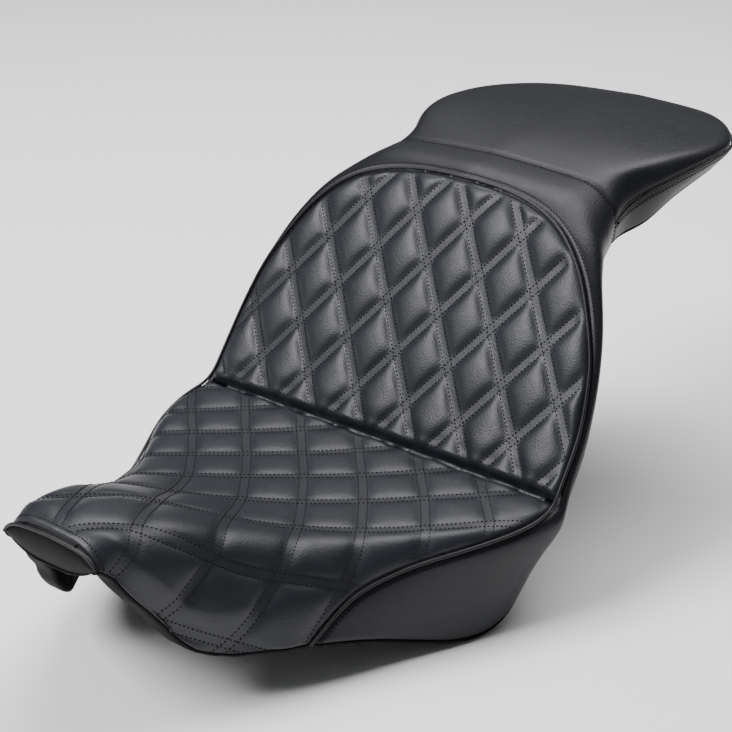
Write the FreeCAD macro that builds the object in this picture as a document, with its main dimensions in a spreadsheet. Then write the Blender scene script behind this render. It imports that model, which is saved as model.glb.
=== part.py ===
import FreeCAD, Part
import PartDesign
import Sketcher
import math
import os

# Two-up motorcycle seat.  +X is the rider's left, +Y points to the tail, +Z is up.
# The origin is midway along and across, at the level of the lowest point of the hem.

Vector = FreeCAD.Vector

COLUMNS = ("along", "crown", "pan", "crest_half", "crest_up", "side_half", "side_up",
           "hem_half", "hem_up")

# Cross-sections from nose to tail: place along the seat, height of the crown on the centre line,
# height of the pan under it, then half width and height of the crest, the side and the hem.
STATIONS = (
    ("tip", -361, 132, 120, 30, 130, 41, 125.5, 45, 121),
    ("lip", -352, 133, 119, 33, 130.5, 44, 123, 48, 112),
    ("chin", -342, 132.5, 117, 35, 129.5, 47, 117, 54, 98),
    ("throat", -325, 131, 112, 38, 127, 52, 108, 64, 71),
    ("neck", -310, 128.5, 107, 41, 124, 55, 105, 70, 52),
    ("collar", -295, 125.5, 101, 44, 120.5, 61, 99, 81, 39),
    ("flap", -265, 116, 84, 53, 110, 80, 72, 103, 36),
    ("knee", -225, 105, 66, 70, 100, 105, 66, 119, 31),
    ("thigh", -185, 96, 52, 96, 92, 122, 66, 132, 22),
    ("hip", -145, 91, 44, 124, 88, 142, 67, 147, 9),
    ("lap", -105, 88, 40, 150, 88, 166, 69, 161, -0.8),
    ("bench", -75, 87, 40, 166, 88, 178, 70, 165, 5),
    ("crook", -50, 87, 45, 172, 88, 184, 71, 165, 32),
    ("crease", -36, 88.5, 54, 172, 88, 185, 73, 164, 46),
    ("lumbar", -20, 115, 78, 166, 113, 180, 94, 163, 60),
    ("waist", 0, 150, 102, 161, 147, 178, 122, 161, 75),
    ("rib", 20, 184.6, 128, 154, 181, 173, 158, 154, 99),
    ("chest", 40, 219, 158, 141, 215, 162, 194, 146, 124),
    ("shoulder", 60, 254, 194, 110, 252, 146, 222, 137, 168),
    ("brow", 72, 272, 216, 92, 265, 138, 234, 131, 205),
    ("ridge", 90, 280, 234, 88, 274, 127, 240, 123, 220),
    ("saddle", 120, 282, 242, 88, 277, 117, 252, 113, 228),
    ("perch", 145, 286, 244, 99, 281, 111, 257, 106, 229),
    ("pad", 170, 289, 248, 111, 285, 123, 268, 112, 234),
    ("seatback", 195, 291, 257, 120, 287, 130, 273, 116, 247),
    ("rump", 225, 292.5, 265, 124, 287.5, 135, 278, 119, 256),
    ("wide", 255, 292.5, 268, 122, 287, 133, 279, 118, 260),
    ("taper", 285, 291.5, 269, 108, 286.5, 118, 278, 104, 261),
    ("heel", 310, 289.5, 269, 85, 285.5, 98, 278, 87, 262),
    ("tail", 328, 286, 268.5, 60, 283, 74, 277, 66, 262),
    ("stern", 341, 279, 267, 36, 277, 46, 273, 41, 262),
)

DIMENSIONS = {
    "cover_thick": 2.0, "quilt_thick": 5.0, "foam_side": 7.0, "pan_thick": 4.0,
    "welt_high": 1.2, "welt_wide": 4.0, "hem_drop": 25.0, "hem_fold": 2.0,
    "pan_lip": 12.0, "pan_round": 14.0, "rib_deep": 7.0, "rib_wide": 4.0,
    "fold_along": -34.5, "fold_up": 88.8, "fold_lean": 60.0,
    "band_back": 120.0, "foam_split": 100.0, "nose_face": 2.0, "back_depth": 12.0,
    "chin_half": 43.0, "chin_low": 112.0, "chin_end": -347.0,
    "plate_thick": 3.0, "clearance": 0.2,
    "rivet_radius": 2.4, "rivet_head_radius": 4.8, "rivet_head": 1.8,
    "tongue_wide": 46.0, "tongue_long": 92.0, "tongue_start": -300.0,
    "tongue_slot_wide": 13.0, "tongue_slot_long": 30.0,
    "tongue_rivet_half": 13.0, "tongue_rivet_first": 52.0, "tongue_rivet_second": 80.0,
    "tab_wide": 44.0, "tab_start": 270.0, "tab_end": 361.0, "tab_bend": 312.0,
    "tab_bend_run": 8.0, "tab_top": 264.1, "tab_step": 4.6,
    "tab_hole_radius": 4.2, "tab_hole_along": 350.0,
    "tab_rivet_half": 13.0, "tab_rivet_first": 280.0, "tab_rivet_second": 302.0,
    "bumper_radius": 14.0, "bumper_high": 11.0, "bumper_well_radius": 8.0,
    "bumper_well": 5.5, "screw_radius": 2.0, "screw_head_radius": 4.2, "screw_head": 2.2,
    "staple_long": 11.0, "staple_wire": 1.1, "staple_pitch": 34.0, "staple_up": 9.0,
}

# Places of the rubber bumpers under the pan: half the spacing and the place along the seat.
BUMPERS = {"front": (62, -150), "middle": (70, -85), "rear": (55, 215), "tail": (45, 300)}

doc = FreeCAD.newDocument("MotorcycleSeat")
sheet = doc.addObject("Spreadsheet::Sheet", "Dimensions")


def column_name(number):
    letters = ""
    while number > 0:
        number, rest = divmod(number - 1, 26)
        letters = chr(65 + rest) + letters
    return letters


def fill_sheet():
    for row, (alias, value) in enumerate(DIMENSIONS.items(), start=1):
        sheet.set("A%d" % row, alias)
        sheet.set("B%d" % row, str(value))
        sheet.setAlias("B%d" % row, alias)
    for row, station in enumerate(STATIONS, start=1):
        sheet.set("D%d" % row, station[0])
        for place, (quantity, value) in enumerate(zip(COLUMNS, station[1:]), start=5):
            cell = "%s%d" % (column_name(place), row)
            sheet.set(cell, str(value))
            sheet.setAlias(cell, "%s_%s" % (station[0], quantity))
    doc.recompute()


def size(alias):
    return float(sheet.get(alias))


fill_sheet()


# ---- the driving curves ----------------------------------------------------------------------

def slopes(places, values):
    """Slopes of a smooth curve that never overshoots its points."""
    steps = [b - a for a, b in zip(places, places[1:])]
    secants = [(b - a) / s for a, b, s in zip(values, values[1:], steps)]
    middle = []
    for before, after in zip(secants, secants[1:]):
        flat = before * after <= 0
        middle.append(0.0 if flat else 2 * before * after / (before + after))
    return [secants[0]] + middle + [secants[-1]]


def curve(places, values):
    """A function through the points, smooth and without overshoot."""
    tangents = slopes(places, values)

    def value(place):
        place = min(max(place, places[0]), places[-1])
        index = 0
        while index < len(places) - 2 and place > places[index + 1]:
            index += 1
        span = places[index + 1] - places[index]
        part = (place - places[index]) / span
        start = (1 + 2 * part) * (1 - part) ** 2 * values[index]
        end = part * part * (3 - 2 * part) * values[index + 1]
        lead = part * (1 - part) ** 2 * span * tangents[index]
        trail = part * part * (part - 1) * span * tangents[index + 1]
        return start + end + lead + trail

    return value


def station_values(quantity):
    return [size("%s_%s" % (station[0], quantity)) for station in STATIONS]


ALONG = station_values("along")
SHAPE = {quantity: curve(ALONG, station_values(quantity)) for quantity in COLUMNS[1:]}
NOSE, TAIL = ALONG[0], ALONG[-1]


def steepness(along):
    """How much longer a vertical measure is than one square to the top surface."""
    step = 2.0
    rise = SHAPE["crown"](along + step) - SHAPE["crown"](along - step)
    return min(math.hypot(1.0, rise / (2 * step)), 2.0)


def wall_half(along, up):
    """Half width of the side wall at a height between the side and the hem."""
    side, hem = SHAPE["side_up"](along), SHAPE["hem_up"](along)
    part = (side - up) / (side - hem)
    wide, low = SHAPE["side_half"](along), SHAPE["hem_half"](along)
    return wide + (low - wide) * part


def outer_points(along, inset):
    """Centre, crest, side, hem and drop points of the padded body, moved in by the inset."""
    deep = inset * steepness(along)
    side = wall_half(along, SHAPE["side_up"](along))
    hem_up = SHAPE["hem_up"](along)
    drop_up = hem_up - size("hem_drop")
    return (
        (0.0, SHAPE["crown"](along) - deep),
        (SHAPE["crest_half"](along) - 0.4 * inset, SHAPE["crest_up"](along) - deep),
        (side - inset, SHAPE["side_up"](along) - 0.4 * inset),
        (SHAPE["hem_half"](along) - inset, hem_up),
        (wall_half(along, drop_up) - inset, drop_up),
    )


def pan_points(along, inset, drop):
    """The same five points for the tray-shaped pan under the foam."""
    top = SHAPE["pan"](along) - drop
    rim = top - size("pan_lip")
    low = SHAPE["hem_up"](along) - size("hem_drop") - drop
    rim_half = wall_half(along, rim) - inset
    low_half = wall_half(along, low) - inset
    middle = (rim + low) / 2
    return (
        (0.0, top),
        (rim_half - size("pan_round"), top - 2.0),
        (rim_half, rim),
        (wall_half(along, middle) - inset, middle),
        (low_half, low),
    )


STEPS = (7, 4, 3, 1)


def section_row(corners):
    """Points from the left edge over the top to the right edge, round the five corners."""
    reach = [0.0]
    for (x_from, z_from), (x_to, z_to) in zip(corners, corners[1:]):
        reach.append(reach[-1] + math.hypot(x_to - x_from, z_to - z_from))
    across = curve(reach, [corner[0] for corner in corners])
    up = curve(reach, [corner[1] for corner in corners])
    half = []
    for start, end, count in zip(reach, reach[1:], STEPS):
        half += [start + (end - start) * number / count for number in range(count)]
    half.append(reach[-1])
    right = [(across(place), up(place)) for place in half]
    left = [(-x, z) for x, z in reversed(right[1:])]
    return left + right


def rows_along():
    places = []
    for start, end in zip(ALONG, ALONG[1:]):
        places += [start, (start + end) / 2]
    return places + [TAIL]


def clamped_knots(count):
    """Knots and multiplicities of an even cubic spline with this many poles."""
    knots = [float(number) for number in range(count - 2)]
    return knots, [4] + [1] * (count - 4) + [4]


def smooth_surface(grid):
    """A cubic surface that follows the grid of points without ripples."""
    knots_along, mults_along = clamped_knots(len(grid))
    knots_across, mults_across = clamped_knots(len(grid[0]))
    surface = Part.BSplineSurface()
    surface.buildFromPolesMultsKnots(grid, mults_along, mults_across, knots_along,
                                     knots_across, False, False, 3, 3)
    return surface


def body(corner_rule, nose, tail):
    """A closed solid through the sections, with flat ends and a ruled bottom."""
    grid = []
    for along in rows_along():
        moved = nose + (along - NOSE) * (tail - nose) / (TAIL - NOSE)
        grid.append([Vector(x, moved, z) for x, z in section_row(corner_rule(moved))])
    surface = smooth_surface(grid)
    u_from, u_to, v_from, v_to = surface.bounds()
    left = surface.vIso(v_from).toShape()
    right = surface.vIso(v_to).toShape()
    faces = [surface.toShape(), Part.makeRuledSurface(left, right)]
    for place, row in ((u_from, grid[0]), (u_to, grid[-1])):
        closing = Part.makeLine(row[-1], row[0])
        faces.append(Part.Face(Part.Wire([surface.uIso(place).toShape(), closing])))
    shell = Part.makeShell(faces)
    shell.sewShape()
    solid = Part.makeSolid(shell)
    if solid.Volume < 0:
        solid.reverse()
    return solid


def padded_body(inset, end_inset):
    return body(lambda along: outer_points(along, inset), NOSE + end_inset, TAIL - end_inset)


def tray_body(inset, drop, end_inset):
    return body(lambda along: pan_points(along, inset, drop), NOSE + end_inset, TAIL - end_inset)


# ---- seams and cutting solids ----------------------------------------------------------------

SEAMS = {
    # along and up, from the hem to the end of the crease
    "side": ((-252, 14), (-240, 29), (-220, 45), (-195, 59.5), (-174, 65), (-150, 70.5),
             (-125, 74), (-104, 77), (-87, 79), (-66, 81), (-49, 83.5), (-37, 86)),
    # half width and up, from the crease to the top of the back panel
    "back": ((178, 70), (174, 88), (174, 113), (173, 133), (168, 160), (161, 184),
             (148, 206), (136, 226), (121, 242.5), (104, 255), (87, 262.5), (62, 268.5),
             (32, 272), (0, 273)),
    # along and up, round the pillion pad
    "boxing": ((110, 243), (120, 248), (143, 251), (156, 260), (169, 265), (188, 270),
               (203, 273), (219, 275.6), (237, 277.5), (262, 278), (300, 276.5), (330, 275),
               (380, 274.5)),
}
FAR = 500.0


def fill_seams():
    column = len(COLUMNS) + 6
    for name, points in SEAMS.items():
        for row, point in enumerate(points, start=1):
            for shift, (axis, value) in enumerate(zip(("first", "second"), point)):
                cell = "%s%d" % (column_name(column + shift), row)
                sheet.set(cell, str(value))
                sheet.setAlias(cell, "%s_seam_%s_%d" % (name, axis, row))
        column += 3
    doc.recompute()


def seam(name):
    rows = range(1, len(SEAMS[name]) + 1)
    alias = name + "_seam_%s_%d"
    return [(size(alias % ("first", row)), size(alias % ("second", row))) for row in rows]


fill_seams()


def soft_edge(points):
    """A smooth edge led by its points, touching the first and the last."""
    knots, mults = clamped_knots(len(points))
    line = Part.BSplineCurve()
    line.buildFromPolesMultsKnots(points, mults, knots, False, 3)
    return line.toShape()


def closed_face(points, corners):
    """A flat face between a smooth edge and straight runs through the corners."""
    around = [points[-1]] + list(corners) + [points[0]]
    sides = [Part.makeLine(start, end) for start, end in zip(around, around[1:])]
    return Part.Face(Part.Wire([soft_edge(points)] + sides))


def across(points, corners):
    """A solid the full width of the seat with this outline in side view."""
    flat = [[Vector(-FAR, along, up) for along, up in group] for group in (points, corners)]
    return closed_face(*flat).extrude(Vector(2 * FAR, 0, 0))


def shifted(points, distance):
    """The points moved square to their line, to its upper side for a line that runs aft."""
    moved = []
    last = len(points) - 1
    for index, (along, up) in enumerate(points):
        before, after = points[max(index - 1, 0)], points[min(index + 1, last)]
        run, rise = after[0] - before[0], after[1] - before[1]
        length = math.hypot(run, rise)
        moved.append((along - rise / length * distance, up + run / length * distance))
    return moved


def chin_block(lift):
    """The space over the rounded bottom of the nose, which the hem's line leaves alone."""
    half, up = size("chin_half"), SHAPE["hem_up"](NOSE) + lift
    ends = (Vector(-half, NOSE - 20.0, up), Vector(half, NOSE - 20.0, up))
    low = Part.Arc(ends[0], Vector(0, NOSE - 20.0, size("chin_low") + lift), ends[1])
    lid = [end + Vector(0, 0, 60.0) for end in ends]
    sides = [Part.makeLine(*pair) for pair in ((ends[1], lid[1]), lid[::-1], (lid[0], ends[0]))]
    face = Part.Face(Part.Wire([low.toShape()] + sides))
    return face.extrude(Vector(0, size("chin_end") - NOSE + 20.0, 0))


def below_hem(lift):
    places = [NOSE - 40.0] + rows_along() + [TAIL + 40.0]
    points = [(along, SHAPE["hem_up"](along)) for along in places]
    low = across(shifted(points, lift), ((FAR, -FAR), (-FAR, -FAR)))
    return low.cut(chin_block(lift))


def slab(start, end):
    return Part.makeBox(2 * FAR, end - start, 2 * FAR, Vector(-FAR, start, -FAR))


def fold_direction():
    lean = math.radians(size("fold_lean"))
    return math.cos(lean), -math.sin(lean)


def ahead_of_side_seam(lower):
    """The space of the riding panel, or a little more where the seam is lowered."""
    points = [(along, up - lower) for along, up in seam("side")]
    run, drop = fold_direction()
    rise = 120.0
    fold = (size("fold_along"), size("fold_up"))
    top = (fold[0] - rise * run, fold[1] - rise * drop)
    return across(points, (fold, top, (-FAR, top[1]), (-FAR, -FAR), (points[0][0], -FAR)))


def side_block(corners):
    """A solid the full width of the seat with straight sides in side view."""
    outline = [Vector(-FAR, along, up) for along, up in corners]
    face = Part.Face(Part.makePolygon(outline + outline[:1]))
    return face.extrude(Vector(2 * FAR, 0, 0))


def ahead_of_fold():
    run, drop = fold_direction()
    fold = (size("fold_along"), size("fold_up"))
    top = (fold[0] - 150.0 * run, fold[1] - 150.0 * drop)
    low = (fold[0] + 150.0 * run, fold[1] + 150.0 * drop)
    return side_block((low, top, (-FAR, top[1]), (-FAR, low[1])))


def inside_back_seam():
    """The space of the back panel seen from the front."""
    half = seam("back")
    outline = [(-x, z) for x, z in half] + list(reversed(half[:-1]))
    start = -58.0
    points = [Vector(x, start, z) for x, z in outline]
    block = closed_face(points, ()).extrude(Vector(0, size("foam_split") - start, 0))
    return block.common(near_back_face())


def near_back_face():
    """The space in front of a plane that lies a little behind the face of the back."""
    run, drop = fold_direction()
    behind = size("back_depth") / -drop
    middle = (size("fold_along") + behind, size("fold_up"))
    low = (middle[0] - 80.0 * run, middle[1] + 80.0 * drop)
    top = (middle[0] + 260.0 * run, middle[1] - 260.0 * drop)
    return side_block((low, top, (-FAR, top[1]), (-FAR, low[1])))


def below_boxing_seam(lift):
    points = [(along, up + lift) for along, up in seam("boxing")]
    return across(points, ((FAR, -FAR), (points[0][0], -FAR)))


# ---- covers, foam and pan --------------------------------------------------------------------

COVER = size("cover_thick")
QUILT = COVER + size("quilt_thick")
TRAY = QUILT + size("foam_side")
HOLLOW = TRAY + size("pan_thick")


def largest(shape):
    """The solids of a boolean result, without crumbs."""
    crumb = 0.001 * shape.Volume
    solids = [solid for solid in shape.Solids if solid.Volume > crumb]
    return solids[0] if len(solids) == 1 else Part.makeCompound(solids)


def soft_parts():
    outer = padded_body(0.0, 0.0)
    lining = padded_body(COVER, COVER)
    quilt = padded_body(QUILT, QUILT)
    tray = tray_body(TRAY, 0.0, TRAY - 5.0)
    hollow = tray_body(HOLLOW, size("pan_thick"), TRAY - 1.0)
    hem = below_hem(0.0)
    fold = below_hem(size("hem_fold"))
    riding = ahead_of_side_seam(0.0)
    back = inside_back_seam()
    aft = slab(size("band_back"), FAR)
    boxing = below_boxing_seam(0.0)
    face = slab(-FAR, NOSE + size("nose_face"))

    cover = outer.cut([lining, fold])
    rest = cover.cut([face, riding])
    rear = rest.common(aft)
    band = rest.cut([aft, back])
    layer = lining.cut([quilt, fold])
    rider_quilt = layer.common(riding)
    back_quilt = layer.cut(riding).common(back)
    core = lining.cut([tray, fold]).cut([rider_quilt, back_quilt])
    front = ahead_of_fold()
    split = slab(size("foam_split"), FAR)
    behind = core.cut(front)
    return {
        "nose_gusset": cover.common(face),
        "rider_panel": cover.cut(face).common(riding),
        "backrest_panel": rest.common(back),
        "shoulder_band": band,
        "pillion_panel": rear.cut(boxing),
        "pillion_boxing": rear.common(boxing),
        "rider_quilt_foam": rider_quilt,
        "backrest_quilt_foam": back_quilt,
        "rider_foam": core.common(front),
        "backrest_foam": behind.cut(split),
        "pillion_foam": behind.common(split),
        "cover_hem": outer.cut([hollow, hem]).common(fold),
    }, tray, hollow, fold


def welts(outer, proud, hem):
    """Raised edges along the side seams, round the pillion pad and round the nose."""
    skin = proud.cut([outer, hem])
    wide = size("welt_wide")
    riding = ahead_of_side_seam(0.0)
    side = skin.common(ahead_of_side_seam(wide)).cut(riding).cut(slab(-33.0, FAR))
    aft = slab(size("band_back"), FAR)
    pad = skin.common(below_boxing_seam(0.0)).cut(below_boxing_seam(-wide)).common(aft)
    nose = skin.common(slab(-FAR, NOSE + wide))
    halves = {"left": Part.makeBox(FAR, 2 * FAR, 2 * FAR, Vector(0, -FAR, -FAR)),
              "right": Part.makeBox(FAR, 2 * FAR, 2 * FAR, Vector(-FAR, -FAR, -FAR))}
    made = {"side_welt_" + name: side.common(half) for name, half in halves.items()}
    made.update({"pillion_welt": pad, "nose_welt": nose})
    return made


# ---- what the pan carries --------------------------------------------------------------------

def under_pan(x, along):
    """Height of the pan's underside."""
    row = section_row(pan_points(along, HOLLOW, size("pan_thick")))
    right = [point for point in row if point[0] >= 0.0]
    for (x_from, z_from), (x_to, z_to) in zip(right, right[1:]):
        if x_from <= abs(x) <= x_to:
            return z_from + (z_to - z_from) * (abs(x) - x_from) / (x_to - x_from)
    raise ValueError("no pan at x %s, y %s" % (x, along))


def tilt(along, reach=8.0):
    """Slope of the pan along the seat, in degrees."""
    rise = under_pan(0.0, along + reach) - under_pan(0.0, along - reach)
    return math.degrees(math.atan2(rise, 2 * reach))


def bumper_placement(side, name):
    half, along = BUMPERS[name]
    x = side * half
    turn = FreeCAD.Rotation(Vector(1, 0, 0), tilt(along))
    seat = Vector(x, along, under_pan(x, along) - size("clearance"))
    return FreeCAD.Placement(seat, turn)


def tongue_placement():
    """The tongue lies along the pan's underside, touching it at the fullest point."""
    start, long, half = size("tongue_start"), size("tongue_long"), size("tongue_wide") / 2
    rise = under_pan(half, start + long) - under_pan(half, start)
    slope = rise / long
    places = [start + long * number / 20.0 for number in range(21)]
    slack = min(under_pan(half, place) - slope * (place - start) for place in places)
    turn = FreeCAD.Rotation(Vector(1, 0, 0), math.degrees(math.atan(slope)))
    return FreeCAD.Placement(Vector(0, start, slack - size("clearance")), turn)


def cell(alias):
    return "Dimensions." + alias


def part_object(kind, name, placement=None, **bound):
    made = doc.addObject(kind, name)
    for quantity, formula in bound.items():
        made.setExpression(quantity, formula)
    if placement is not None:
        made.Placement = placement
    return made


def cylinder(name, radius, height, base):
    return part_object("Part::Cylinder", name, FreeCAD.Placement(base, FreeCAD.Rotation()),
                       Radius=radius, Height=height)


def bumper(side, side_name, name):
    label = "%s_bumper_%s" % (name, side_name)
    high = size("bumper_high")
    block = cylinder(label + "_block", cell("bumper_radius"), cell("bumper_high"),
                     Vector(0, 0, -high))
    hole = cylinder(label + "_hole", cell("screw_radius"), cell("bumper_high"),
                    Vector(0, 0, -high))
    pit = cylinder(label + "_well", cell("bumper_well_radius"), cell("bumper_well"),
                   Vector(0, 0, -high))
    tools = doc.addObject("Part::Fuse", label + "_tools")
    tools.Base, tools.Tool = hole, pit
    drilled = doc.addObject("Part::Cut", label + "_drilled")
    drilled.Base, drilled.Tool = block, tools
    rounded = doc.addObject("Part::Chamfer", label)
    rounded.Base = drilled
    doc.recompute()
    rounded.Edges = [(rim_edge(drilled.Shape, size("bumper_radius"), -high), 1.5, 1.5)]
    rounded.Placement = bumper_placement(side, name)
    return rounded


def rim_edge(shape, radius, up):
    """Number of the round edge of this radius at this height."""
    for number, edge in enumerate(shape.Edges, start=1):
        round_edge = isinstance(edge.Curve, Part.Circle)
        if round_edge and abs(edge.Curve.Radius - radius) < 0.01:
            if abs(edge.Curve.Center.z - up) < 0.01:
                return number
    raise ValueError("no such rim")


def pin(name, shank_radius, shank_high, head_radius, head_high, placement, shank_base):
    """A screw or a rivet: a shank with a round head below it."""
    shank = cylinder(name + "_shank", shank_radius, shank_high, Vector(0, 0, shank_base))
    head_size = doc_value(head_high)
    head = cylinder(name + "_head", head_radius, head_high,
                    Vector(0, 0, shank_base - head_size))
    joined = doc.addObject("Part::Fuse", name)
    joined.Base, joined.Tool = shank, head
    joined.Placement = placement
    return joined


def doc_value(formula):
    return float(sheet.evalExpression(formula.replace("Dimensions.", "")))


def group(label, members):
    made = doc.addObject("Part::Compound", label)
    made.Links = members
    return made


def bumper_screw(side, side_name, name):
    shank = cell("bumper_high") + " - " + cell("bumper_well") + " + " + cell("pan_thick")
    base = size("bumper_well") - size("bumper_high")
    return pin("%s_screw_%s" % (name, side_name), cell("screw_radius"), shank,
               cell("screw_head_radius"), cell("screw_head"),
               bumper_placement(side, name), base)


def tongue_rivet_places():
    frame = tongue_placement()
    places = []
    for alias in ("tongue_rivet_first", "tongue_rivet_second"):
        for side in (-1, 1):
            spot = Vector(side * size("tongue_rivet_half"), size(alias), 0)
            places.append(FreeCAD.Placement(frame.multVec(spot), frame.Rotation))
    return places


def tab_rivet_places():
    places = []
    for alias in ("tab_rivet_first", "tab_rivet_second"):
        for side in (-1, 1):
            spot = Vector(side * size("tab_rivet_half"), size(alias), size("tab_top"))
            places.append(FreeCAD.Placement(spot, FreeCAD.Rotation()))
    return places


def rivets(label, places):
    shank = cell("plate_thick") + " + " + cell("pan_thick")
    made = [pin("%s_%d" % (label, number), cell("rivet_radius"), shank,
                cell("rivet_head_radius"), cell("rivet_head"), place, -size("plate_thick"))
            for number, place in enumerate(places, start=1)]
    return group(label, made)


# ---- plates, drawn as sketches ---------------------------------------------------------------

ORIGIN_POINT = (-1, 1)
X_AXIS, Y_AXIS = -1, -2
LINE_START, RING_CENTRE = 1, 3


def design_body(label):
    made = doc.addObject("PartDesign::Body", label)
    made.Label = label
    return made


def sketch_on(made, name, role):
    plane = [item for item in made.Origin.OriginFeatures if item.Role == role][0]
    sketch = made.newObject("Sketcher::SketchObject", name)
    sketch.AttachmentSupport = (plane, "")
    sketch.MapMode = "FlatFace"
    return sketch


def pin_point(sketch, item, end, formulas):
    """Ties one point of an item to formulas of the sheet, measured from the origin."""
    for kind, formula, axis in zip(("DistanceX", "DistanceY"), formulas, (Y_AXIS, X_AXIS)):
        value = doc_value(formula)
        if abs(value) < 1e-9:
            sketch.addConstraint(Sketcher.Constraint("PointOnObject", item, end, axis))
            continue
        number = sketch.addConstraint(
            Sketcher.Constraint(kind, *ORIGIN_POINT, item, end, value))
        sketch.setExpression("Constraints[%d]" % number, formula)


def draw_outline(sketch, corners):
    """A closed outline through corners that are given as pairs of formulas."""
    spots = [Vector(doc_value(x), doc_value(y), 0) for x, y in corners]
    lines = [sketch.addGeometry(Part.LineSegment(start, end), False)
             for start, end in zip(spots, spots[1:] + spots[:1])]
    for line, after in zip(lines, lines[1:] + lines[:1]):
        sketch.addConstraint(Sketcher.Constraint("Coincident", line, 2, after, 1))
    for line, formulas in zip(lines, corners):
        pin_point(sketch, line, LINE_START, formulas)


def draw_holes(sketch, radius, centres):
    for x, y in centres:
        spot = Vector(doc_value(x), doc_value(y), 0)
        ring = sketch.addGeometry(Part.Circle(spot, Vector(0, 0, 1), doc_value(radius)), False)
        number = sketch.addConstraint(
            Sketcher.Constraint("Radius", ring, doc_value(radius)))
        sketch.setExpression("Constraints[%d]" % number, radius)
        pin_point(sketch, ring, RING_CENTRE, (x, y))


def cut_through(made, sketch):
    pocket = made.newObject("PartDesign::Pocket", sketch.Name + "Cut")
    pocket.Profile = sketch
    pocket.Type = "ThroughAll"
    pocket.Midplane = True
    return pocket


def front_tongue():
    made = design_body("front_tongue")
    half, long = cell("tongue_wide") + " / 2", cell("tongue_long")
    slot, deep = cell("tongue_slot_wide") + " / 2", cell("tongue_slot_long")
    left, notch = "-" + half, "-" + slot
    outline = sketch_on(made, "TonguePlan", "XY_Plane")
    draw_outline(outline, ((left, "0"), (notch, "0"), (notch, deep), (slot, deep),
                           (slot, "0"), (half, "0"), (half, long), (left, long)))
    plate = made.newObject("PartDesign::Pad", "TonguePlate")
    plate.Profile = outline
    plate.setExpression("Length", cell("plate_thick"))
    plate.Reversed = True
    holes = sketch_on(made, "TongueHoles", "XY_Plane")
    spread = cell("tongue_rivet_half")
    rows = (cell("tongue_rivet_first"), cell("tongue_rivet_second"))
    draw_holes(holes, cell("rivet_radius"),
               [(side + spread, row) for row in rows for side in ("", "-")])
    cut_through(made, holes)
    made.Placement = tongue_placement()
    return made


def rear_tab():
    made = design_body("rear_tab")
    start, end, bend = cell("tab_start"), cell("tab_end"), cell("tab_bend")
    run, top, step = cell("tab_bend_run"), cell("tab_top"), cell("tab_step")
    thick = cell("plate_thick")
    low = top + " - " + step
    outline = sketch_on(made, "TabSide", "YZ_Plane")
    draw_outline(outline, (
        (start, top), (bend, top), (bend + " + " + run, low), (end, low),
        (end, low + " - " + thick), (bend + " + " + run + " - 1", low + " - " + thick),
        (bend + " - 1", top + " - " + thick), (start, top + " - " + thick)))
    strip = made.newObject("PartDesign::Pad", "TabStrip")
    strip.Profile = outline
    strip.setExpression("Length", cell("tab_wide"))
    strip.Midplane = True
    holes = sketch_on(made, "TabHoles", "XY_Plane")
    spread = cell("tab_rivet_half")
    rows = (cell("tab_rivet_first"), cell("tab_rivet_second"))
    draw_holes(holes, cell("rivet_radius"),
               [(side + spread, row) for row in rows for side in ("", "-")])
    cut_through(made, holes)
    eye = sketch_on(made, "TabEye", "XY_Plane")
    draw_holes(eye, cell("tab_hole_radius"), [("0", cell("tab_hole_along"))])
    cut_through(made, eye)
    return made


# ---- the pan and its staples -----------------------------------------------------------------

RIBS = (-235.0, -120.0, -50.0, 160.0, 245.0)


def drilled_pan(tray, hollow, fold):
    """The moulded pan with cross ribs and the holes of its screws and rivets."""
    deep = size("rib_deep")
    under = tray_body(HOLLOW + deep, size("pan_thick") + deep, TRAY + 4.0)
    shell = tray.cut([hollow, fold])
    hoops = hollow.cut([under, fold])
    hoops = hoops.common(Part.makeCompound(
        [slab(place, place + size("rib_wide")) for place in RIBS]))
    pan = shell.fuse(hoops)
    drills = []
    for place in tongue_rivet_places() + tab_rivet_places():
        drills.append((place, size("rivet_radius")))
    for side in (-1, 1):
        drills += [(bumper_placement(side, name), size("screw_radius")) for name in BUMPERS]
    tools = []
    for place, radius in drills:
        tool = Part.makeCylinder(radius, 24.0, Vector(0, 0, -6.0))
        tool.Placement = place
        tools.append(tool)
    return pan.cut(tools)


def staple(along, side):
    """A wire staple lying along the inside of the pan's skirt, just above the hem."""
    half = size("staple_long") / 2
    wire = size("staple_wire")
    ends = []
    for place in (along - half, along + half):
        up = SHAPE["hem_up"](place) + size("staple_up")
        x = wall_half(place, up) - HOLLOW - wire
        ends.append(Vector(side * x, place, up))
    run = ends[1] - ends[0]
    block = Part.makeBox(wire, run.Length, wire, Vector(-wire / 2, 0, -wire / 2))
    block.Placement = FreeCAD.Placement(ends[0], FreeCAD.Rotation(Vector(0, 1, 0), run))
    return block


def staples():
    places = []
    along = -285.0
    while along < 305.0:
        steep = abs(SHAPE["hem_up"](along + 8.0) - SHAPE["hem_up"](along - 8.0)) > 14.0
        if not steep:
            places.append(along)
        along += size("staple_pitch")
    return Part.makeCompound([staple(place, side) for place in places for side in (-1, 1)])


# ---- building and writing --------------------------------------------------------------------

def shape_object(label, shape):
    made = doc.addObject("Part::Feature", label)
    made.Shape = shape
    made.Label = label
    made.Placement = FreeCAD.Placement()
    return made


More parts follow.
